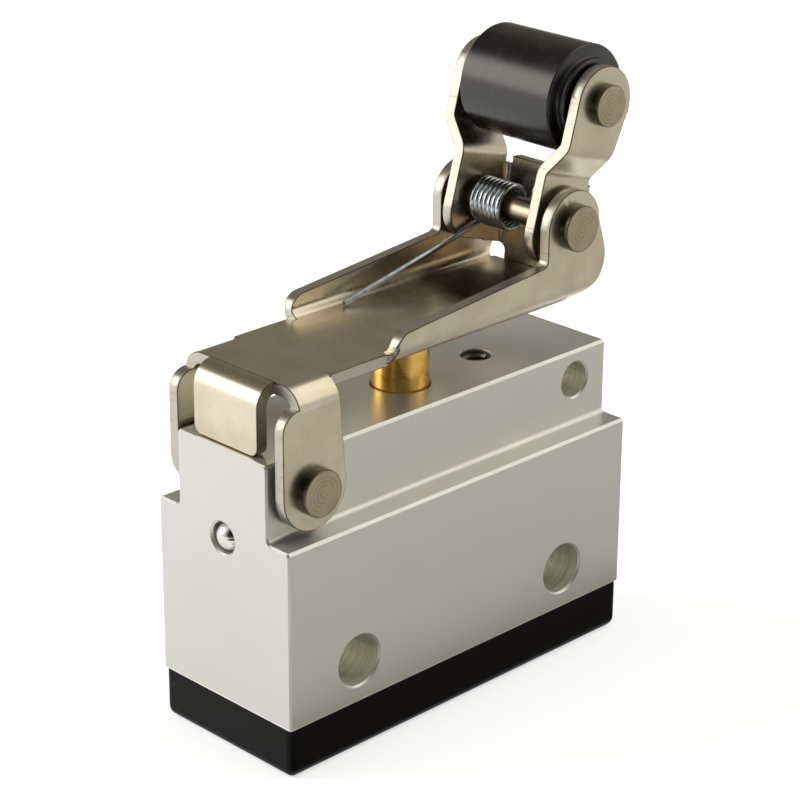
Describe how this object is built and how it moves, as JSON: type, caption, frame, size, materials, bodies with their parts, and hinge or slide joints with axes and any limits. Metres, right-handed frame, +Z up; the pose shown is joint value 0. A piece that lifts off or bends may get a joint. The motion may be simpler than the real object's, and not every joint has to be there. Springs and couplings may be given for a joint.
{
  "type": "roller lever air valve",
  "caption": "Small aluminium block valve worked by a pressed steel lever with a spring-loaded folding roller yoke, which trips in one direction only.",
  "frame": {"origin": "middle of the base's underside, which is the mount base_face", "axes": "+X along the body away from the lever's pivot end, +Y from the front side with no ports to the back side with the ports, +Z up towards the roller"},
  "size_m": [0.0393, 0.0152, 0.0515],
  "materials": {
    "anodised_block": "satin anodised",
    "black_base": "moulded, faintly glossy",
    "seal_rubber": "smooth",
    "zinc_steel": "zinc plated",
    "ball_steel": "ground",
    "turned_brass": "turned",
    "spring_steel": "zinc plated wire",
    "plated_sheet": "nickel plated, satin",
    "pin_steel": "turned, nickel plated",
    "roller_plastic": "satin, turned"
  },
  "bodies": {
    "root": {"valve_body": "anodised_block", "base_cover": "black_base", "base_gasket": "seal_rubber", "base_screws": "zinc_steel", "passage_ball": "ball_steel", "seat_insert": "turned_brass", "seat_ring": "seal_rubber", "wiper_ring": "seal_rubber", "return_spring": "spring_steel", "poppet_spring": "spring_steel"},
    "plunger": {"plunger": "turned_brass", "land_ring": "seal_rubber"},
    "poppet": {"poppet": "turned_brass", "poppet_disc": "seal_rubber"},
    "lever": {"lever": "plated_sheet", "lever_pin": "pin_steel", "yoke_pin": "pin_steel", "torsion_spring": "spring_steel"},
    "yoke": {"yoke": "plated_sheet", "roller_axle": "pin_steel"},
    "roller": {"roller": "roller_plastic"}
  },
  "joints": [
    {"name": "lever_hinge", "type": "hinge", "parent": "root", "child": "lever", "pos_m": [-0.0153, 0, 0.0232], "axis": [0, 1, 0], "range_deg": [0, 7], "stiffness_Nm_per_rad": 0.15, "springref_deg": -17.19},
    {"name": "yoke_hinge", "type": "hinge", "parent": "lever", "child": "yoke", "pos_m": [0.0131, 0, 0.0374], "axis": [0, -1, 0], "range_deg": [0, 95], "stiffness_Nm_per_rad": 0.004, "springref_deg": -34.38, "deforming": ["torsion_spring"]},
    {"name": "roller_spin", "type": "hinge", "parent": "yoke", "child": "roller", "pos_m": [0.01584, 0, 0.04702], "axis": [0, 1, 0], "continuous": true},
    {"name": "plunger_slide", "type": "slide", "parent": "root", "child": "plunger", "axis": [0, 0, -1], "range_m": [0, 0.0019], "deforming": ["return_spring"]},
    {"name": "poppet_slide", "type": "slide", "parent": "root", "child": "poppet", "axis": [0, 0, -1], "range_m": [0, 0.0014], "deforming": ["poppet_spring"]}
  ],
  "couplings": [
    {"joint": "plunger_slide", "follows": "lever_hinge", "m_per_rad": 0.0153},
    {"joint": "poppet_slide", "follows": "lever_hinge", "m_per_rad": 0.0112}
  ]
}
